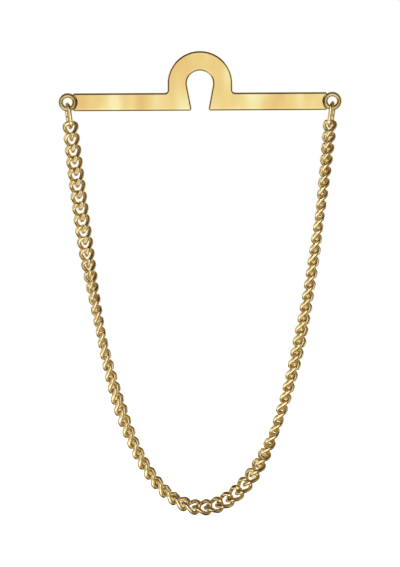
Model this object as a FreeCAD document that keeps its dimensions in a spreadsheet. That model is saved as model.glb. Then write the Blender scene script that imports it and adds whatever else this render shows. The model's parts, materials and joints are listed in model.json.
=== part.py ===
import FreeCAD, Part
import math
import os
from FreeCAD import Placement, Rotation, Vector
from Sketcher import Constraint

# Tie chain: a keyhole bar that slips behind a shirt button, and a curb chain that
# hangs from an eye at each end of the bar. Millimetres. X runs along the bar, Z is up,
# and the polished face looks along -Y. The origin is the centre of the button seat.

DIMENSIONS = {
    # keyhole bar
    "bar_height": 3.6,
    "bar_thickness": 0.85,
    "bar_drop": 3.64,
    "loop_width": 13.0,
    "seat_diameter": 5.14,
    "mouth_width": 3.16,
    "mouth_corner": 0.42,
    "neck_fillet": 0.5,
    "end_corner": 0.45,
    "face_round": 0.38,
    "back_round": 0.1,
    # eyes at the ends of the bar
    "eye_spacing": 52.94,
    "eye_ring_radius": 1.37,
    "eye_wire_radius": 0.48,
    "eye_overlap": 1.45,
    "eye_setback": 1.0,
    "cove_radius": 1.98,
    "cove_wire": 0.25,
    "cove_depth": 0.1,
    # jump rings
    "ring_wire": 0.76,
    "ring_length": 5.46,
    "ring_width": 3.4,
    "ring_turn": -15,
    "ring_lean": 8.5,
    "ring_hang": 1.0,
    "ring_split": 0.04,
    # curb chain
    "link_wire": 0.88,
    "link_half_length": 1.68,
    "link_half_width": 1.24,
    "link_half_depth": 0.76,
    "link_filed_height": 1.0,
    "link_pitch": 2.326,
    "links_per_side": 36,
    "catenary_scale": 8.74,
    "chain_low_point": 84.85,
}

# How far the flat of the chain is turned about its own run, in degrees, against the
# number of links from the lowest one: 0 shows the links face-on, 90 shows them edge-on.
TWIST_LEFT = (
    (0, 46), (3, 76), (9, 78), (12, 67), (18, 90), (22, 108), (25, 132), (28, 149), (33, 149), (36, 135),
)
TWIST_RIGHT = (
    (0, 46), (2, 34), (4, 40), (6, 62), (9, 90), (12, 100), (18, 113), (22, 102), (26, 100), (29, 90), (36, 66),
)

# Each link is bent as this many spans of two arcs.
LINK_SPANS = 8

doc = FreeCAD.newDocument("tie_chain")
sheet = doc.addObject("Spreadsheet::Sheet", "sheet")


def fill_sheet():
    for row, (name, value) in enumerate(DIMENSIONS.items(), start=1):
        sheet.set(f"A{row}", name)
        sheet.set(f"B{row}", str(value))
        sheet.setAlias(f"B{row}", name)
    doc.recompute()


def dim(name):
    return float(sheet.get(name))


def bind(obj, links):
    for path, formula in links.items():
        obj.setExpression(path, formula)


def origin_plane(body, role):
    return next(f for f in body.Origin.OriginFeatures if f.Role == role)


def new_sketch(body, name):
    sketch = body.newObject("Sketcher::SketchObject", name)
    sketch.AttachmentSupport = (origin_plane(body, "XZ_Plane"), [""])
    sketch.MapMode = "FlatFace"
    return sketch


def line(sketch, start, end):
    return sketch.addGeometry(Part.LineSegment(Vector(*start, 0), Vector(*end, 0)), False)


def arc(sketch, centre, radius, start, end):
    circle = Part.Circle(Vector(*centre, 0), Vector(0, 0, 1), radius)
    return sketch.addGeometry(Part.ArcOfCircle(circle, start, end), False)


def constrain(sketch, *args, name=None, formula=None):
    index = sketch.addConstraint(Constraint(*args))
    if name:
        sketch.renameConstraint(index, name)
        sketch.setExpression(f"Constraints.{name}", formula)
    return index


def rectangle(sketch, left, right, bottom, top):
    # sides in order: bottom, right, top, left
    corners = [(left, bottom), (right, bottom), (right, top), (left, top)]
    sides = [line(sketch, corners[i], corners[(i + 1) % 4]) for i in range(4)]
    for i in range(4):
        constrain(sketch, "Coincident", sides[i], 2, sides[(i + 1) % 4], 1)
    for side, kind in zip(sides[1:], ("Vertical", "Horizontal", "Vertical")):
        constrain(sketch, kind, side)
    constrain(sketch, "Symmetric", sides[0], 1, sides[0], 2, -2)
    return sides


def pad(body, sketch, name):
    feature = body.newObject("PartDesign::Pad", name)
    feature.Profile = sketch
    feature.SideType = "Symmetric"
    bind(feature, {"Length": "sheet.bar_thickness"})
    return feature


def edges_where(feature, test):
    return [f"Edge{i}" for i, e in enumerate(feature.Shape.Edges, start=1) if test(e)]


def runs_through(edge, x, z):
    # an edge square to the face of the bar that stands at (x, z)
    a, b = edge.Vertexes[0].Point, edge.Vertexes[-1].Point
    if len(edge.Vertexes) < 2 or abs(a.y - b.y) < 0.1:
        return False
    return all(abs(abs(p.x) - x) < 1e-4 and abs(p.z - z) < 1e-4 for p in (a, b))


def on_level(edge, y):
    box = edge.BoundBox
    return abs(box.YMin - y) < 1e-5 and abs(box.YMax - y) < 1e-5


def fillet(body, base, name, edges, formula):
    feature = body.newObject("PartDesign::Fillet", name)
    feature.Base = (base, edges)
    bind(feature, {"Radius": formula})
    doc.recompute()
    return feature


def draw_bar_strip(body):
    sketch = new_sketch(body, "bar_strip_sketch")
    reach = dim("eye_spacing") / 2 - dim("eye_setback")
    low = -dim("bar_drop") - dim("bar_height") / 2
    high = low + dim("bar_height")
    bottom, right, top, left = rectangle(sketch, -reach, reach, low, high)
    constrain(sketch, "DistanceX", bottom, 1, bottom, 2, 2 * reach,
              name="strip_length", formula="sheet.eye_spacing - 2 * sheet.eye_setback")
    constrain(sketch, "DistanceY", right, 1, right, 2, high - low,
              name="strip_height", formula="sheet.bar_height")
    constrain(sketch, "DistanceY", bottom, 1, -1, 1, -low,
              name="strip_drop", formula="sheet.bar_drop + sheet.bar_height / 2")
    return pad(body, sketch, "bar_strip")


def draw_loop(body):
    # a half disc on straight cheeks that run down into the strip
    sketch = new_sketch(body, "loop_sketch")
    radius = dim("loop_width") / 2
    low = -dim("bar_drop")
    dome = arc(sketch, (0, 0), radius, 0, math.pi)
    left = line(sketch, (-radius, 0), (-radius, low))
    base = line(sketch, (-radius, low), (radius, low))
    right = line(sketch, (radius, low), (radius, 0))
    constrain(sketch, "Coincident", dome, 2, left, 1)
    constrain(sketch, "Coincident", left, 2, base, 1)
    constrain(sketch, "Coincident", base, 2, right, 1)
    constrain(sketch, "Coincident", right, 2, dome, 1)
    constrain(sketch, "Coincident", dome, 3, -1, 1)
    constrain(sketch, "Vertical", left)
    constrain(sketch, "Vertical", right)
    constrain(sketch, "Horizontal", base)
    constrain(sketch, "PointOnObject", dome, 1, -1)
    constrain(sketch, "PointOnObject", dome, 2, -1)
    constrain(sketch, "Radius", dome, radius, name="loop_radius", formula="sheet.loop_width / 2")
    constrain(sketch, "DistanceY", base, 1, -1, 1, -low, name="cheek_drop", formula="sheet.bar_drop")
    return pad(body, sketch, "loop")


def cut_keyhole(body):
    # the round button seat, then straight sides that close in towards the mouth
    sketch = new_sketch(body, "keyhole_sketch")
    seat = dim("seat_diameter") / 2
    half_mouth = dim("mouth_width") / 2
    low = -dim("bar_drop") - dim("bar_height") / 2
    reach = math.hypot(half_mouth, low)
    tangent = math.atan2(low, half_mouth) + math.acos(seat / reach)
    touch = (seat * math.cos(tangent), seat * math.sin(tangent))
    crown = arc(sketch, (0, 0), seat, tangent, math.pi - tangent)
    left = line(sketch, (-touch[0], touch[1]), (-half_mouth, low))
    mouth = line(sketch, (-half_mouth, low), (half_mouth, low))
    right = line(sketch, (half_mouth, low), touch)
    constrain(sketch, "Tangent", crown, 2, left, 1)
    constrain(sketch, "Coincident", left, 2, mouth, 1)
    constrain(sketch, "Coincident", mouth, 2, right, 1)
    constrain(sketch, "Tangent", right, 2, crown, 1)
    constrain(sketch, "Coincident", crown, 3, -1, 1)
    constrain(sketch, "Symmetric", mouth, 1, mouth, 2, -2)
    constrain(sketch, "Radius", crown, seat, name="seat_radius", formula="sheet.seat_diameter / 2")
    constrain(sketch, "DistanceX", mouth, 1, mouth, 2, 2 * half_mouth,
              name="mouth", formula="sheet.mouth_width")
    constrain(sketch, "DistanceY", mouth, 1, -1, 1, -low,
              name="mouth_drop", formula="sheet.bar_drop + sheet.bar_height / 2")
    pocket = body.newObject("PartDesign::Pocket", "keyhole")
    pocket.Profile = sketch
    pocket.Type = "ThroughAll"
    pocket.Midplane = True
    return pocket


def eye_feature(body, kind, name, side, lift, sizes):
    feature = body.newObject(kind, name)
    feature.AttachmentSupport = (origin_plane(body, "XZ_Plane"), [""])
    feature.MapMode = "FlatFace"
    bind(feature, {
        "AttachmentOffset.Base.x": f"{side} * sheet.eye_spacing / 2",
        "AttachmentOffset.Base.y": "-sheet.bar_drop",
        "AttachmentOffset.Base.z": lift,
        **sizes,
    })
    return feature


def make_eyes(body):
    # open the end of the strip, cove it, then close it with a round ring
    for side, word in ((-1, "left"), (1, "right")):
        eye_feature(body, "PartDesign::SubtractiveCylinder", f"eye_seat_{word}", side,
                    "-sheet.bar_thickness",
                    {"Radius": "sheet.eye_overlap", "Height": "2 * sheet.bar_thickness"})
        eye_feature(body, "PartDesign::SubtractiveTorus", f"eye_cove_{word}", side,
                    "sheet.bar_thickness / 2 + sheet.cove_wire - sheet.cove_depth",
                    {"Radius1": "sheet.cove_radius", "Radius2": "sheet.cove_wire"})
        eye_feature(body, "PartDesign::AdditiveTorus", f"eye_ring_{word}", side, "0",
                    {"Radius1": "sheet.eye_ring_radius", "Radius2": "sheet.eye_wire_radius"})
    doc.recompute()


def make_keyhole_bar():
    body = doc.addObject("PartDesign::Body", "keyhole_bar")
    body.Label = "keyhole_bar"
    draw_bar_strip(body)
    draw_loop(body)
    hole = cut_keyhole(body)
    doc.recompute()
    top = dim("bar_height") / 2 - dim("bar_drop")
    low = top - dim("bar_height")
    half = dim("bar_thickness") / 2
    end = dim("eye_spacing") / 2 - dim("eye_setback")
    necks = edges_where(hole, lambda e: runs_through(e, dim("loop_width") / 2, top))
    soft = fillet(body, hole, "neck_fillets", necks, "sheet.neck_fillet")
    lips = edges_where(soft, lambda e: runs_through(e, dim("mouth_width") / 2, low))
    soft = fillet(body, soft, "mouth_corners", lips, "sheet.mouth_corner")
    ends = edges_where(soft, lambda e: runs_through(e, end, top) or runs_through(e, end, low))
    soft = fillet(body, soft, "end_corners", ends, "sheet.end_corner")
    soft = fillet(body, soft, "face_rounding",
                  edges_where(soft, lambda e: on_level(e, -half)), "sheet.face_round")
    fillet(body, soft, "back_rounding",
           edges_where(soft, lambda e: on_level(e, half)), "sheet.back_round")
    make_eyes(body)
    return body


def racetrack(name):
    # centre line of a jump ring: two half circles joined by straight sides, long way along Y
    sketch = doc.addObject("Sketcher::SketchObject", name)
    radius = (dim("ring_width") - dim("ring_wire")) / 2
    half = (dim("ring_length") - dim("ring_width")) / 2
    top = arc(sketch, (0, half), radius, 0, math.pi)
    left = line(sketch, (-radius, half), (-radius, -half))
    bottom = arc(sketch, (0, -half), radius, math.pi, 2 * math.pi)
    right = line(sketch, (radius, -half), (radius, half))
    for first, first_end, second, second_end in (
        (top, 2, left, 1), (left, 2, bottom, 1), (bottom, 2, right, 1), (right, 2, top, 1),
    ):
        constrain(sketch, "Tangent", first, first_end, second, second_end)
    constrain(sketch, "Equal", top, bottom)
    constrain(sketch, "Symmetric", top, 3, bottom, 3, -1, 1)
    constrain(sketch, "PointOnObject", top, 3, -2)
    constrain(sketch, "Radius", top, radius, name="bend",
              formula="(sheet.ring_width - sheet.ring_wire) / 2")
    constrain(sketch, "DistanceY", bottom, 3, top, 3, 2 * half, name="straight",
              formula="sheet.ring_length - sheet.ring_width")
    return sketch


def ring_placement():
    # hangs from the lower rim of the left eye, leaning in with the chain
    lean = dim("ring_lean")
    axis = Rotation(Vector(0, 1, 0), -lean)
    turned = axis * Rotation(Vector(0, 0, 1), 90 - dim("ring_turn")) * Rotation(Vector(1, 0, 0), 90)
    rim = Vector(-dim("eye_spacing") / 2, 0, -dim("bar_drop") - dim("eye_ring_radius"))
    below = (dim("ring_length") - dim("ring_wire")) / 2 - dim("ring_hang")
    return Placement(rim - axis.multVec(Vector(0, 0, below)), turned)


def make_jump_rings():
    path = racetrack("ring_path")
    wire = doc.addObject("Part::Circle", "ring_section")
    bind(wire, {"Radius": "sheet.ring_wire / 2"})
    wire.Placement = Placement(Vector(0, 0, 0), Rotation(Vector(1, 0, 0), 90))
    bind(wire, {"Placement.Base.x": "(sheet.ring_width - sheet.ring_wire) / 2"})
    sweep = doc.addObject("Part::Sweep", "ring_sweep")
    sweep.Sections = [wire]
    doc.recompute()
    sweep.Spine = (path, [f"Edge{i}" for i in range(1, 5)])
    sweep.Solid = True
    # the saw cut through the back side where the ring was closed
    saw = doc.addObject("Part::Box", "ring_saw")
    bind(saw, {
        "Length": "2 * sheet.ring_wire",
        "Width": "sheet.ring_split",
        "Height": "2 * sheet.ring_wire",
        "Placement.Base.x": "sheet.ring_width / 2 - 1.5 * sheet.ring_wire",
        "Placement.Base.y": "-sheet.ring_split / 2",
        "Placement.Base.z": "-sheet.ring_wire",
    })
    left = doc.addObject("Part::Cut", "jump_ring_left")
    left.Label = "jump_ring_left"
    left.Base = sweep
    left.Tool = saw
    left.Placement = ring_placement()
    right = doc.addObject("Part::Mirroring", "jump_ring_right")
    right.Label = "jump_ring_right"
    right.Source = left
    right.Normal = Vector(1, 0, 0)
    right.Base = Vector(0, 0, 0)
    doc.recompute()
    return [left, right]


def link_curve(turn):
    # centre line of a curb link and its heading: an oval whose corners are twisted out of flat
    length, width = dim("link_half_length"), dim("link_half_width")
    depth = dim("link_half_depth")
    point = Vector(length * math.cos(turn), width * math.sin(turn), depth * math.sin(2 * turn))
    heading = Vector(-length * math.sin(turn), width * math.cos(turn), 2 * depth * math.cos(2 * turn))
    return point, heading.normalize()


def meeting_point(start, heading, end, arrival):
    # where two arcs meet smoothly: one leaves start along heading, one reaches end along arrival
    span, both = end - start, heading + arrival
    spread = 2 * (1 - heading.dot(arrival))
    reach = (math.sqrt(span.dot(both) ** 2 + spread * span.dot(span)) - span.dot(both)) / spread
    return (start + heading * reach + end - arrival * reach) * 0.5


def bend(start, heading, end):
    # round wire bent in one arc from start, where it runs along heading, to end
    chord = end - start
    axis = heading.cross(chord)
    half_angle = heading.getAngle(chord)
    radius = chord.Length / (2 * math.sin(half_angle))
    axis.normalize()
    centre = start + axis.cross(heading) * radius
    section = Part.Face(Part.Wire(Part.makeCircle(dim("link_wire") / 2, start, heading)))
    return section.revolve(centre, axis, math.degrees(2 * half_angle))


def make_link():
    # one curb link about its own centre, long way along X, bent from round wire
    bends = []
    for i in range(LINK_SPANS):
        start, heading = link_curve(2 * math.pi * i / LINK_SPANS)
        end, arrival = link_curve(2 * math.pi * (i + 1) / LINK_SPANS)
        middle = meeting_point(start, heading, end, arrival)
        bends.append(bend(start, heading, middle))
        bends.append(bend(end, arrival * -1, middle))
    # both faces are filed flat where the wire stands proudest
    long, wide, high = 3 * dim("link_half_length"), 3 * dim("link_half_width"), dim("link_filed_height")
    filed = Part.makeBox(2 * long, 2 * wide, 2 * high, Vector(-long, -wide, -high))
    link = doc.addObject("Part::Feature", "curb_link")
    link.Shape = bends[0].multiFuse(bends[1:]).common(filed)
    return link


def chain_point(run):
    # a freely hanging chain is a catenary; run is the length along it from its lowest point
    scale = dim("catenary_scale")
    return Vector(scale * math.asinh(run / scale), 0,
                  math.hypot(scale, run) - scale - dim("chain_low_point"))


def twist(number):
    stations = TWIST_LEFT if number < 0 else TWIST_RIGHT
    count = abs(number)
    for (near, a), (far, b) in zip(stations, stations[1:]):
        if near <= count <= far:
            return a + (b - a) * (count - near) / (far - near)
    return stations[-1][1]


def link_placement(number):
    # the link reaches from one touching point of the chain to the next
    pitch = dim("link_pitch")
    start, end = chain_point((number - 0.5) * pitch), chain_point((number + 0.5) * pitch)
    along = (end - start).normalize()
    front = Vector(0, -1, 0)
    aside = front.cross(along)
    turn = math.radians(twist(number))
    depth = front * math.cos(turn) + aside * math.sin(turn)
    width = depth.cross(along)
    return Placement((start + end) / 2, Rotation(along, width, depth, "ZXY"))


def make_row(link, name, numbers, top):
    # the links of one level, about the axis that they hang and fold on
    solids = []
    for number in numbers:
        place = link_placement(number)
        place.Base = place.Base - top
        solid = link.Shape.Solids[0].copy()
        solid.Placement = place
        solids.append(solid)
    row = doc.addObject("Part::Feature", name)
    row.Label = name
    row.Shape = Part.makeCompound(solids)
    row.Placement = Placement(top, Rotation())
    return row


def make_chain():
    link = make_link()
    count = int(dim("links_per_side"))
    rows = []
    for k in range(1, count + 1):
        number = count + 1 - k
        height = chain_point((number + 0.5) * dim("link_pitch")).z
        rows.append(make_row(link, f"link_row_{k:02d}", (-number, number), Vector(0, 0, height)))
    height = chain_point(0.5 * dim("link_pitch")).z
    rows.append(make_row(link, "lowest_link", (0,), Vector(0, 0, height)))
    return rows


def check(nodes):
    for obj in doc.Objects:
        bad = [s for s in obj.State if s in ("Invalid", "Error")]
        if bad:
            raise RuntimeError(f"{obj.Name} is {bad}")
    for obj in nodes:
        if obj.Shape.isNull() or not obj.Shape.isValid():
            raise RuntimeError(f"{obj.Name} has no valid shape")
        print(obj.Label, "solids", len(obj.Shape.Solids), "volume", round(obj.Shape.Volume, 3))


fill_sheet()
nodes = [make_keyhole_bar()] + make_jump_rings() + make_chain()
doc.recompute()
check(nodes)
os.makedirs("parts", exist_ok=True)
for node in nodes:
    node.Shape.exportStep(f"parts/{node.Label}.step")
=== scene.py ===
import json
import math

import bpy
import numpy as np
from mathutils import Matrix, Vector
from mathutils.geometry import delaunay_2d_cdt

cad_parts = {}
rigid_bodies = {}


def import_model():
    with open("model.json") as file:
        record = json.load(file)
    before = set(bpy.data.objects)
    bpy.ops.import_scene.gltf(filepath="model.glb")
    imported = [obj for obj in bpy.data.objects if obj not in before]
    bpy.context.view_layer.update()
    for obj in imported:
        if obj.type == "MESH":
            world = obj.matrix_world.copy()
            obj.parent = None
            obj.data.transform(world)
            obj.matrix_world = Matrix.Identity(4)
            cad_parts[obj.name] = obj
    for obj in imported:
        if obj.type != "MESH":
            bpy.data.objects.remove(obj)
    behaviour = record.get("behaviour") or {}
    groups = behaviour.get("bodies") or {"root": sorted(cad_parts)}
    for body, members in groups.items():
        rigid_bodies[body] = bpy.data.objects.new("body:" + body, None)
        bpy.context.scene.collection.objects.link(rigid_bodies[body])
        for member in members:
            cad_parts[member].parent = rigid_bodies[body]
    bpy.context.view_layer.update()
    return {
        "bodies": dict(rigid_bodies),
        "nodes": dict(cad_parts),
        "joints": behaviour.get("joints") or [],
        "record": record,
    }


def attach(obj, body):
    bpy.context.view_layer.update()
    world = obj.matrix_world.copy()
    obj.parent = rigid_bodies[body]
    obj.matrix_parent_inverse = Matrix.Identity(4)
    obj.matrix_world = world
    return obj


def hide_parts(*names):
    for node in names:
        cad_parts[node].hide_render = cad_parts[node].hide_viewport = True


MM = 0.001

# keyhole bar, millimetres
BAR_HEIGHT = 3.6
BAR_THICK = 0.85
BAR_DROP = 3.64
LOOP_RADIUS = 6.5
SEAT_RADIUS = 2.57
HALF_MOUTH = 1.58
MOUTH_CORNER = 0.42
NECK_FILLET = 0.5
END_CORNER = 0.45
FACE_ROUND = 0.38
BACK_ROUND = 0.1
FACE_CROWN = 0.03
BAND_HALF = BAR_HEIGHT / 2

# eyes
EYE_X = 26.47
EYE_RING = 1.37
EYE_WIRE = 0.48
EYE_OPENING = 1.45
EYE_SETBACK = 1.0
DISH_REACH = 2.15
DISH_DEPTH = 0.12

# jump rings
RING_WIRE = 0.76
RING_LENGTH = 5.46
RING_WIDTH = 3.4
RING_TURN = -15.0
RING_LEAN = 8.5
RING_HANG = 1.0
RING_SPLIT = 0.04

# curb chain
LINK_WIRE = 0.88
LINK_A = 1.68
LINK_B = 1.24
LINK_C = 0.76
LINK_FILED = 1.0
PITCH = 2.326
SIDE_LINKS = 36
CATENARY = 8.74
LOW_POINT = 84.85
# turn of the chain's flat in degrees against the number of links from the lowest one
TWIST_LEFT = (
    (0, 46), (3, 76), (9, 78), (12, 67), (18, 90), (22, 108), (25, 132), (28, 149), (33, 149),
    (36, 135),
)
TWIST_RIGHT = (
    (0, 46), (2, 34), (4, 40), (6, 62), (9, 90), (12, 100), (18, 113), (22, 102), (26, 100),
    (29, 90), (36, 66),
)


def new_piece(name, verts, faces, body, material, nodes, smooth=True):
    mesh = bpy.data.meshes.new(name)
    mesh.from_pydata([tuple(v * MM for v in p) for p in verts], [], faces)
    mesh.validate()
    mesh.update()
    if smooth:
        mesh.shade_smooth()
    piece = bpy.data.objects.new(name, mesh)
    bpy.context.scene.collection.objects.link(piece)
    mesh.materials.append(material)
    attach(piece, body)
    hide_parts(*nodes)
    return piece


# ---------------------------------------------------------------- sweeps


def tube(points, sides, radius, closed, reference, clip=None):
    """Vertices and faces of a round wire along points. reference gives a direction square to the
    path at each point; clip flattens the wire beyond a height along the local third axis."""
    count = len(points)
    verts, faces = [], []
    for i in range(count):
        if closed:
            ahead, behind = points[(i + 1) % count], points[i - 1]
        else:
            ahead, behind = points[min(i + 1, count - 1)], points[max(i - 1, 0)]
        heading = ahead - behind
        heading /= np.linalg.norm(heading)
        out = reference[i] - heading * np.dot(reference[i], heading)
        out /= np.linalg.norm(out)
        side = np.cross(heading, out)
        r = radius[i] if hasattr(radius, "__len__") else radius
        for k in range(sides):
            a = 2 * math.pi * k / sides
            p = points[i] + (out * math.cos(a) + side * math.sin(a)) * r
            if clip is not None:
                p = np.array([p[0], p[1], min(max(p[2], -clip), clip)])
            verts.append(p)
    rings = count if closed else count - 1
    for i in range(rings):
        j = (i + 1) % count
        for k in range(sides):
            n = (k + 1) % sides
            faces.append((i * sides + k, i * sides + n, j * sides + n, j * sides + k))
    if not closed:
        faces.append(tuple(reversed(range(sides))))
        faces.append(tuple((count - 1) * sides + k for k in range(sides)))
    return verts, faces


def merge(parts):
    verts, faces = [], []
    for v, f in parts:
        start = len(verts)
        verts += list(v)
        faces += [tuple(i + start for i in face) for face in f]
    return verts, faces


# ---------------------------------------------------------------- chain


def chain_point(run):
    return np.array([
        CATENARY * math.asinh(run / CATENARY), 0.0,
        math.hypot(CATENARY, run) - CATENARY - LOW_POINT,
    ])


def twist(number):
    stations = TWIST_LEFT if number < 0 else TWIST_RIGHT
    return float(np.interp(abs(number), [s[0] for s in stations], [s[1] for s in stations]))


def curb_link(along=56, sides=24):
    """One link about its own centre. Both faces are filed flat where the wire stands proudest."""
    t = np.linspace(0, 2 * math.pi, along, endpoint=False)
    points = np.stack([LINK_A * np.cos(t), LINK_B * np.sin(t), LINK_C * np.sin(2 * t)], 1)
    outward = np.stack([LINK_B * np.cos(t), LINK_A * np.sin(t), 0 * t], 1)
    return tube(points, sides, LINK_WIRE / 2, True, outward, clip=LINK_FILED)


def placed_link(shape, number):
    start, end = chain_point((number - 0.5) * PITCH), chain_point((number + 0.5) * PITCH)
    along = (end - start) / np.linalg.norm(end - start)
    front = np.array([0.0, -1.0, 0.0])
    aside = np.cross(front, along)
    turn = math.radians(twist(number))
    depth = front * math.cos(turn) + aside * math.sin(turn)
    width = np.cross(depth, along)
    frame = np.stack([along, width, depth])
    verts, faces = shape
    return [(start + end) / 2 + np.array(v) @ frame for v in verts], faces


def make_chain(material):
    shape = curb_link()
    pieces = []
    for k in range(1, SIDE_LINKS + 1):
        number = SIDE_LINKS + 1 - k
        verts, faces = merge([placed_link(shape, -number), placed_link(shape, number)])
        name = f"{k:02d}"
        pieces.append(new_piece(f"curb_links_{name}", verts, faces, f"row_{name}",
                                material, [f"link_row_{name}"]))
    verts, faces = placed_link(shape, 0)
    pieces.append(new_piece("curb_link_lowest", verts, faces, "lowest", material,
                            ["lowest_link"]))
    return pieces


# ---------------------------------------------------------------- jump rings


def ring_path():
    """Centre line of a jump ring, from one side of its split round to the other."""
    radius = (RING_WIDTH - RING_WIRE) / 2
    half = (RING_LENGTH - RING_WIDTH) / 2
    gap = RING_SPLIT / 2
    points, outward = [], []
    for z in np.linspace(gap, half, 5)[:-1]:
        points.append((radius, z, 0))
        outward.append((1, 0, 0))
    for a in np.linspace(0, math.pi, 25):
        points.append((radius * math.cos(a), half + radius * math.sin(a), 0))
        outward.append((math.cos(a), math.sin(a), 0))
    for z in np.linspace(half, -half, 8)[1:-1]:
        points.append((-radius, z, 0))
        outward.append((-1, 0, 0))
    for a in np.linspace(math.pi, 2 * math.pi, 25):
        points.append((radius * math.cos(a), -half + radius * math.sin(a), 0))
        outward.append((math.cos(a), math.sin(a), 0))
    for z in np.linspace(-half, -gap, 5)[1:]:
        points.append((radius, z, 0))
        outward.append((1, 0, 0))
    return np.array(points, float), np.array(outward, float)


def make_jump_rings(material):
    points, outward = ring_path()
    verts, faces = tube(points, 24, RING_WIRE / 2, False, outward)
    lean = Matrix.Rotation(math.radians(-RING_LEAN), 3, "Y")
    turned = (lean @ Matrix.Rotation(math.radians(90 - RING_TURN), 3, "Z")
              @ Matrix.Rotation(math.radians(90), 3, "X"))
    rim = Vector((-EYE_X, 0, -BAR_DROP - EYE_RING))
    below = (RING_LENGTH - RING_WIRE) / 2 - RING_HANG
    centre = rim - lean @ Vector((0, 0, below))
    left = [centre + turned @ Vector(v) for v in verts]
    right = [Vector((-v.x, v.y, v.z)) for v in left]
    mirrored = [tuple(reversed(f)) for f in faces]
    return [
        new_piece("jump_ring_l", left, faces, "jump_rings", material,
                  ["jump_ring_left"]),
        new_piece("jump_ring_r", right, mirrored, "jump_rings", material,
                  ["jump_ring_right"]),
    ]


# ---------------------------------------------------------------- keyhole bar


def arc_points(cx, cz, radius, start, end, step=0.09):
    """Points of an arc and the outward normals of the bar along it. A negative radius is a hollow."""
    r = abs(radius)
    count = max(4, int(r * abs(math.radians(end - start)) / step))
    out = []
    for a in np.radians(np.linspace(start, end, count + 1)):
        n = (math.cos(a), math.sin(a))
        sign = 1 if radius > 0 else -1
        out.append((cx + r * n[0], cz + r * n[1], sign * n[0], sign * n[1]))
    return out


def line_points(a, b, normal, step=0.3):
    count = max(1, int(math.dist(a, b) / step))
    return [(*(np.array(a) + (np.array(b) - np.array(a)) * i / count), *normal)
            for i in range(1, count)]


def right_outline():
    """The right half of the bar's outline, clockwise from the top of the loop to the top of the
    seat: x, z and outward normal."""
    top, low = BAND_HALF - BAR_DROP, -BAND_HALF - BAR_DROP
    end = EYE_X - EYE_SETBACK
    bite = math.degrees(math.acos(EYE_SETBACK / EYE_OPENING))
    # the keyhole's straight side leaves the seat at this angle
    reach = math.hypot(HALF_MOUTH, low)
    tangent = math.atan2(low, HALF_MOUTH) + math.acos(SEAT_RADIUS / reach)
    inward = np.array([-math.cos(tangent), -math.sin(tangent)])
    touch = -inward * SEAT_RADIUS
    along = np.array([HALF_MOUTH, low]) - touch
    along /= np.linalg.norm(along)
    # the mouth's rounded corner
    spread = math.acos(np.dot(-along, (1, 0)))
    back = MOUTH_CORNER / math.tan(spread / 2)
    corner = np.array([HALF_MOUTH + back, low + MOUTH_CORNER])
    side_end = np.array([HALF_MOUTH, low]) - along * back
    side_angle = math.degrees(math.atan2(inward[1], inward[0]))
    ring = [
        arc_points(0, 0, LOOP_RADIUS, 90, 0),
        line_points((LOOP_RADIUS, 0), (LOOP_RADIUS, top + NECK_FILLET), (1, 0)),
        arc_points(LOOP_RADIUS + NECK_FILLET, top + NECK_FILLET, -NECK_FILLET, 180, 270),
        line_points((LOOP_RADIUS + NECK_FILLET, top), (end - END_CORNER, top), (0, 1)),
        arc_points(end - END_CORNER, top - END_CORNER, END_CORNER, 90, 0),
        arc_points(EYE_X, -BAR_DROP, -EYE_OPENING, 180 - bite, 180 + bite),
        arc_points(end - END_CORNER, low + END_CORNER, END_CORNER, 0, -90),
        line_points((end - END_CORNER, low), (corner[0], low), (0, -1)),
        arc_points(corner[0], corner[1], MOUTH_CORNER, 270, side_angle % 360),
        line_points(side_end, touch, inward),
        arc_points(0, 0, -SEAT_RADIUS, math.degrees(tangent), 90),
    ]
    return [p for stretch in ring for p in stretch]


def bar_outline():
    """The whole outline, closed, without its middle points twice."""
    right = right_outline()
    left = [(-x, z, -nx, nz) for x, z, nx, nz in reversed(right)]
    return np.array(right + left[1:-1])


def edge_distance(points, outline):
    """How far each point lies from the outline."""
    a = outline[:, :2]
    b = np.roll(a, -1, axis=0)
    best = np.full(len(points), 1e9)
    for p, q in zip(a, b):
        d = q - p
        t = np.clip(((points - p) @ d) / max(d @ d, 1e-12), 0, 1)
        best = np.minimum(best, np.linalg.norm(points - (p + t[:, None] * d), axis=1))
    return best


def face_drop(x, z, d):
    """How far the polished face stands back from its crown: a soft dome across the band, and a
    dish round each eye."""
    crown = FACE_CROWN * (1 - np.clip(d / BAND_HALF, 0, 1)) ** 2
    r = np.hypot(np.abs(x) - EYE_X, z + BAR_DROP)
    t = np.clip((DISH_REACH - r) / (DISH_REACH - EYE_OPENING), 0, 1)
    return crown + DISH_DEPTH * t * t * (3 - 2 * t)


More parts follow.
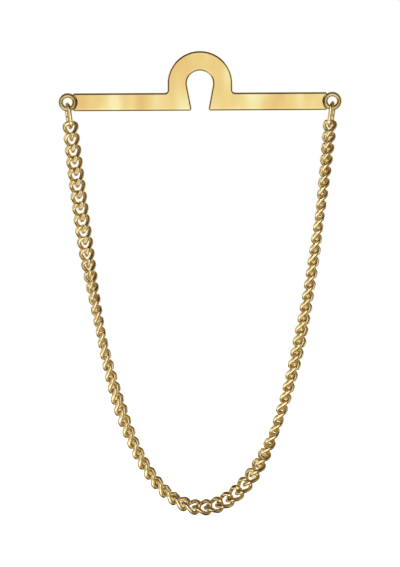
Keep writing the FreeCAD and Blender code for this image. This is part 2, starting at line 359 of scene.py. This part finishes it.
def bar_plate():
    """The flat bar with its loop: rounded front edge, polished face, straight wall, plain back."""
    outline = bar_outline()
    count = len(outline)
    half = BAR_THICK / 2
    xz, normal = outline[:, :2], outline[:, 2:]
    loops = []
    for a in np.radians(np.linspace(90, 0, 8)):
        inset = FACE_ROUND * (1 - math.cos(a))
        ring = xz - normal * inset
        y = -half + FACE_ROUND * (1 - math.sin(a)) + face_drop(ring[:, 0], ring[:, 1], inset)
        loops.append(np.stack([ring[:, 0], y, ring[:, 1]], 1))
    for a in np.radians(np.linspace(0, 90, 4)):
        inset = BACK_ROUND * (1 - math.cos(a))
        ring = xz - normal * inset
        y = np.full(count, half - BACK_ROUND * (1 - math.sin(a)))
        loops.append(np.stack([ring[:, 0], y, ring[:, 1]], 1))
    verts = [p for loop in loops for p in loop]
    faces = []
    for i in range(len(loops) - 1):
        for k in range(count):
            n = (k + 1) % count
            faces.append((i * count + k, i * count + n, (i + 1) * count + n, (i + 1) * count + k))
    # the face is filled with fine points, so that the dome and the dishes turn smoothly
    rim = xz - normal * FACE_ROUND
    grid = inner_points(rim, outline, 0.24)
    fill(verts, faces, rim, grid, 0, outline, True)
    back_rim = xz - normal * BACK_ROUND
    fill(verts, faces, back_rim, np.zeros((0, 2)), (len(loops) - 1) * count, outline, False)
    return verts, faces


def inner_points(rim, outline, step):
    low, high = rim.min(0), rim.max(0)
    xs, zs = np.arange(low[0], high[0], step), np.arange(low[1], high[1], step * 0.87)
    rows = [np.stack([xs + (i % 2) * step / 2, np.full(len(xs), z)], 1) for i, z in enumerate(zs)]
    points = np.concatenate(rows)
    inside = np.zeros(len(points), bool)
    a, b = rim, np.roll(rim, -1, axis=0)
    for p, q in zip(a, b):
        crosses = (p[1] > points[:, 1]) != (q[1] > points[:, 1])
        if abs(q[1] - p[1]) > 1e-12:
            at = p[0] + (points[:, 1] - p[1]) / (q[1] - p[1]) * (q[0] - p[0])
            inside ^= crosses & (points[:, 0] < at)
    points = points[inside]
    return points[edge_distance(points, outline) > FACE_ROUND + step * 0.5]


def fill(verts, faces, rim, grid, first, outline, front):
    """Closes one side of the plate with triangles over its rim and the points inside it."""
    count = len(rim)
    half = BAR_THICK / 2
    flat = [Vector(p) for p in rim] + [Vector(p) for p in grid]
    edges = [(i, (i + 1) % count) for i in range(count)]
    out, _, tris, origin, _, _ = delaunay_2d_cdt(flat, edges, [], 1, 1e-6)
    start = len(verts)
    index = {}
    extra = []
    for i, sources in enumerate(origin):
        ring = [s for s in sources if s < count]
        if ring:
            index[i] = first + ring[0]
        else:
            index[i] = start + len(extra)
            extra.append(out[i])
    if extra:
        points = np.array([tuple(p) for p in extra])
        drop = face_drop(points[:, 0], points[:, 1], edge_distance(points, outline))
        verts += [np.array([p[0], -half + d, p[1]]) for p, d in zip(points, drop)]
    for tri in tris:
        ids = [index[i] for i in tri]
        if len(set(ids)) == 3:
            faces.append(tuple(ids) if front else tuple(reversed(ids)))


def eye_ring(side):
    a = np.linspace(0, 2 * math.pi, 64, endpoint=False)
    centre = np.array([side * EYE_X, 0, -BAR_DROP])
    outward = np.stack([np.cos(a), 0 * a, np.sin(a)], 1)
    return tube(centre + outward * EYE_RING, 28, EYE_WIRE, True, outward)


def join_solids(piece, others):
    """Welds the eye rings to the bar as one solid, then clears the helpers away."""
    bpy.context.view_layer.update()
    for other in others:
        joint = piece.modifiers.new("weld", "BOOLEAN")
        joint.operation = "UNION"
        joint.solver = "EXACT"
        joint.object = other
    shape = bpy.data.meshes.new_from_object(
        piece.evaluated_get(bpy.context.evaluated_depsgraph_get()))
    piece.modifiers.clear()
    piece.data = shape
    for other in others:
        bpy.data.objects.remove(other)
    return piece


def solid(name, verts, faces):
    mesh = bpy.data.meshes.new(name)
    mesh.from_pydata([tuple(v * MM for v in p) for p in verts], [], faces)
    mesh.update()
    obj = bpy.data.objects.new(name, mesh)
    bpy.context.scene.collection.objects.link(obj)
    return obj


def make_bar(material):
    bar = solid("keyhole_bar_polished", *bar_plate())
    join_solids(bar, [solid(f"eye_{word}", *eye_ring(side)) for side, word in ((-1, "l"), (1, "r"))])
    bar.data.materials.clear()
    bar.data.materials.append(material)
    bar.data.shade_smooth()
    bar.data.set_sharp_from_angle(angle=math.radians(40))
    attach(bar, "bar")
    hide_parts("keyhole_bar")
    return bar


# ---------------------------------------------------------------- materials


class Paint:
    """A small helper that adds and joins shader nodes."""

    def __init__(self, name):
        self.material = bpy.data.materials.new(name)
        self.material.use_nodes = True
        self.tree = self.material.node_tree
        self.shader = self.tree.nodes["Principled BSDF"]
        self.coords = self.add("ShaderNodeTexCoord")

    def add(self, kind, **values):
        node = self.tree.nodes.new(kind)
        for key, value in values.items():
            if key in node.inputs:
                node.inputs[key].default_value = value
            else:
                setattr(node, key, value)
        return node

    def join(self, source, target):
        self.tree.links.new(source, target)

    def stretched(self, scale):
        mapping = self.add("ShaderNodeMapping")
        mapping.inputs["Scale"].default_value = scale
        self.join(self.coords.outputs["Object"], mapping.inputs["Vector"])
        return mapping.outputs["Vector"]

    def noise(self, scale, detail=2.0, rough=0.5, stretch=(1, 1, 1)):
        node = self.add("ShaderNodeTexNoise")
        node.inputs["Scale"].default_value = scale
        node.inputs["Detail"].default_value = detail
        node.inputs["Roughness"].default_value = rough
        self.join(self.stretched(stretch), node.inputs["Vector"])
        return node.outputs["Fac"]

    def ramp(self, source, stops):
        node = self.add("ShaderNodeValToRGB")
        ramp = node.color_ramp
        while len(ramp.elements) < len(stops):
            ramp.elements.new(0.5)
        for element, (place, colour) in zip(ramp.elements, stops):
            element.position = place
            element.color = (*colour, 1) if len(colour) == 3 else colour
        self.join(source, node.inputs["Fac"])
        return node.outputs["Color"]

    def spread(self, source, low, high, start=0.0, end=1.0):
        node = self.add("ShaderNodeMapRange")
        for key, value in (("From Min", start), ("From Max", end), ("To Min", low), ("To Max", high)):
            node.inputs[key].default_value = value
        self.join(source, node.inputs["Value"])
        return node.outputs["Result"]

    def bump(self, height, distance, strength, before=None):
        node = self.add("ShaderNodeBump")
        node.inputs["Strength"].default_value = strength
        node.inputs["Distance"].default_value = distance
        self.join(height, node.inputs["Height"])
        if before is not None:
            self.join(before, node.inputs["Normal"])
        return node.outputs["Normal"]


# close tones of gold plate, from deep to pale; spread as patches over the bar they are painted
# reflection
AMBER = (0.80, 0.55, 0.21)
HONEY = (0.88, 0.69, 0.28)
LEMON = (0.96, 0.88, 0.48)


def polish(p, haze, grain):
    """The finish of a buffed plate: a haze with fine buffing grain over it, and slow waves."""
    buffing = p.noise(2600, 2, 0.5, stretch=grain)
    blend = p.add("ShaderNodeMath", operation="ADD")
    p.join(haze, blend.inputs[0])
    p.join(p.spread(buffing, 0.0, 0.03, 0.45, 0.75), blend.inputs[1])
    p.join(blend.outputs[0], p.shader.inputs["Roughness"])
    slow = p.bump(p.noise(150, 1, 0.4), 0.0004, 0.2)
    p.join(p.bump(buffing, 0.00001, 0.12, slow), p.shader.inputs["Normal"])


def chain_gold():
    """Worn bright plate: two close shades in small patches."""
    p = Paint("chain_gold")
    p.shader.inputs["Metallic"].default_value = 1.0
    tone = p.noise(900, 3, 0.55)
    p.join(p.ramp(tone, [(0.35, (0.78, 0.60, 0.27)), (0.65, (0.94, 0.80, 0.45))]),
           p.shader.inputs["Base Color"])
    polish(p, p.spread(p.noise(420, 4, 0.6), 0.12, 0.2, 0.35, 0.7), (3, 3, 3))
    return p.material


def bar_gold():
    """Mirror-bright plate whose base colour drifts softly between close golds, by noise alone: the
    gold's own colour, with painted reflection patches from deep amber to pale lemon placed at random.
    """
    p = Paint("bar_gold")
    p.shader.inputs["Metallic"].default_value = 1.0
    # painted reflection: noise scatters amber, honey and lemon patches over the bar, standing in for
    # what the polished face reflects
    reflection_drift = p.noise(140, 2, 0.5, stretch=(1, 1, 0.4))
    p.join(p.ramp(reflection_drift, [(0.34, AMBER), (0.50, HONEY), (0.64, LEMON)]),
           p.shader.inputs["Base Color"])
    split = p.add("ShaderNodeSeparateXYZ")
    p.join(p.coords.outputs["Object"], split.inputs[0])
    # the soldered eyes are polished less finely than the band
    reach = p.add("ShaderNodeMath", operation="ABSOLUTE")
    p.join(split.outputs["X"], reach.inputs[0])
    polish(p, p.spread(reach.outputs[0], 0.05, 0.36, 24.4 * MM, 25.0 * MM), (1, 12, 12))
    return p.material


def pale_floor():
    p = Paint("pale_floor")
    p.shader.inputs["Base Color"].default_value = (0.86, 0.86, 0.86, 1)
    p.shader.inputs["Roughness"].default_value = 0.9
    p.shader.inputs["Emission Color"].default_value = (1, 1, 1, 1)
    p.shader.inputs["Emission Strength"].default_value = 1.0
    return p.material


# ---------------------------------------------------------------- set


def make_floor():
    """A pale sweep well below the hanging chain, lit up to white."""
    size, level = 4.0, -0.16
    mesh = bpy.data.meshes.new("floor")
    corners = [(-size, -size, level), (size, -size, level), (size, size, level), (-size, size, level)]
    mesh.from_pydata(corners, [], [(0, 1, 2, 3)])
    floor = bpy.data.objects.new("floor", mesh)
    bpy.context.scene.collection.objects.link(floor)
    mesh.materials.append(pale_floor())
    floor.visible_glossy = False


class Studio:
    """The world: plain white to look at, and a dark studio with pale cards in reflections."""

    def __init__(self):
        world = bpy.data.worlds.new("studio")
        bpy.context.scene.world = world
        world.use_nodes = True
        self.tree = world.node_tree
        self.tree.nodes.clear()
        coords = self.add("ShaderNodeTexCoord")
        split = self.add("ShaderNodeSeparateXYZ")
        self.tree.links.new(coords.outputs["Generated"], split.inputs[0])
        x, y, z = (split.outputs[axis] for axis in "XYZ")
        self.azimuth = self.math("ARCTAN2", x, self.math("MULTIPLY", y, -1.0))
        self.height = self.math("ARCSINE", z)
        self.total = None

    def add(self, kind):
        return self.tree.nodes.new(kind)

    def math(self, operation, first, second=None):
        node = self.add("ShaderNodeMath")
        node.operation = operation
        for socket, value in zip(node.inputs, (first, second)):
            if isinstance(value, (int, float)):
                socket.default_value = value
            elif value is not None:
                self.tree.links.new(value, socket)
        return node.outputs[0]

    def window(self, angle, low, high, soft):
        """1 between two angles in degrees, with soft sides."""
        sides = []
        for start, end in ((low - soft, low), (high + soft, high)):
            node = self.add("ShaderNodeMapRange")
            node.interpolation_type = "SMOOTHSTEP"
            node.inputs["From Min"].default_value = math.radians(start)
            node.inputs["From Max"].default_value = math.radians(end)
            self.tree.links.new(angle, node.inputs["Value"])
            sides.append(node.outputs["Result"])
        return self.math("MULTIPLY", *sides)

    def card(self, azimuth, height, soft, colour):
        """A pale card over a stretch of azimuth and height."""
        mask = self.math("MULTIPLY", self.window(self.azimuth, *azimuth, soft),
                         self.window(self.height, *height, soft))
        tint = self.add("ShaderNodeVectorMath")
        tint.operation = "SCALE"
        tint.inputs[0].default_value = colour
        self.tree.links.new(mask, tint.inputs["Scale"])
        if self.total is None:
            self.total = tint.outputs[0]
        else:
            both = self.add("ShaderNodeVectorMath")
            both.operation = "ADD"
            self.tree.links.new(self.total, both.inputs[0])
            self.tree.links.new(tint.outputs[0], both.inputs[1])
            self.total = both.outputs[0]

    def finish(self):
        studio, seen = self.add("ShaderNodeBackground"), self.add("ShaderNodeBackground")
        mix, rays = self.add("ShaderNodeMixShader"), self.add("ShaderNodeLightPath")
        out = self.add("ShaderNodeOutputWorld")
        seen.inputs["Color"].default_value = (1, 1, 1, 1)
        self.tree.links.new(self.total, studio.inputs["Color"])
        self.tree.links.new(rays.outputs["Is Camera Ray"], mix.inputs["Fac"])
        self.tree.links.new(studio.outputs[0], mix.inputs[1])
        self.tree.links.new(seen.outputs[0], mix.inputs[2])
        self.tree.links.new(mix.outputs[0], out.inputs["Surface"])


def make_world():
    studio = Studio()
    everywhere = (-200, 200)
    studio.card(everywhere, (-100, 100), 1, (0.065, 0.035, 0.012))
    studio.card((-18, 18), (-16, 13), 5, (0.92, 0.92, 0.92))
    studio.card((-18, 18), (-16, -3), 5, (0.10, 0.10, 0.10))
    studio.card((-60, 40), (-48, -22), 5, (0.9, 0.95, 1.0))
    for side in (-1, 1):
        studio.card(sorted((side * 78, side * 112)), (-35, 40), 6, (0.35, 0.35, 0.35))
        studio.card(sorted((side * 125, side * 200)), (-40, 30), 10, (0.9, 0.9, 0.9))
    studio.card(everywhere, (60, 100), 8, (0.12, 0.12, 0.12))
    studio.finish()


def softbox(name, place, aim, size, power):
    light = bpy.data.lights.new(name, "AREA")
    light.shape = "RECTANGLE"
    light.size, light.size_y = size
    light.energy = power
    lamp = bpy.data.objects.new(name, light)
    bpy.context.scene.collection.objects.link(lamp)
    lamp.location = place
    lamp.rotation_euler = (Vector(aim) - Vector(place)).to_track_quat("-Z", "Y").to_euler()
    lamp.visible_camera = False
    return lamp


def make_lights(pieces):
    """Soft lamps that light only the chain and its rings, through light linking. Their small
    round wires would otherwise show little but the dark gaps between the cards."""
    only = bpy.data.collections.new("chain_light")
    for piece in pieces:
        only.objects.link(piece)
    for name, place, size, power in (
        ("key", (-0.50, -0.60, 0.50), (0.16, 0.16), 0.35),
        ("left", (-0.55, -0.35, -0.05), (0.7, 0.8), 1.15),
        ("front", (0.0, -0.80, 0.10), (0.5, 0.5), 0.75),
        ("low", (-0.05, -0.45, -0.55), (0.7, 0.6), 1.05),
        ("right", (0.60, -0.25, -0.15), (0.6, 0.8), 0.3),
    ):
        lamp = softbox(name, place, (0, 0, -0.04), size, power)
        lamp.light_linking.receiver_collection = only


def make_camera():
    """A long lens square on to the bar. The object hangs a third of a degree off level."""
    width, distance = 0.080, 0.62
    data = bpy.data.cameras.new("camera")
    data.sensor_fit = "HORIZONTAL"
    data.sensor_width = 36
    data.lens = 36 * distance / width
    data.clip_start, data.clip_end = 0.01, 20
    camera = bpy.data.objects.new("camera", data)
    bpy.context.scene.collection.objects.link(camera)
    camera.location = (-0.0002, -distance, -0.0400)
    roll = math.radians(-0.3)
    camera.rotation_euler = (Matrix.Rotation(math.radians(90), 3, "X")
                             @ Matrix.Rotation(roll, 3, "Z")).to_euler()
    bpy.context.scene.camera = camera


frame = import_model()

bpy.context.scene.view_settings.view_transform = "Standard"
chain_paint = chain_gold()
make_camera()
make_bar(bar_gold())
small_pieces = make_jump_rings(chain_paint) + make_chain(chain_paint)
make_floor()
make_world()
make_lights(small_pieces)
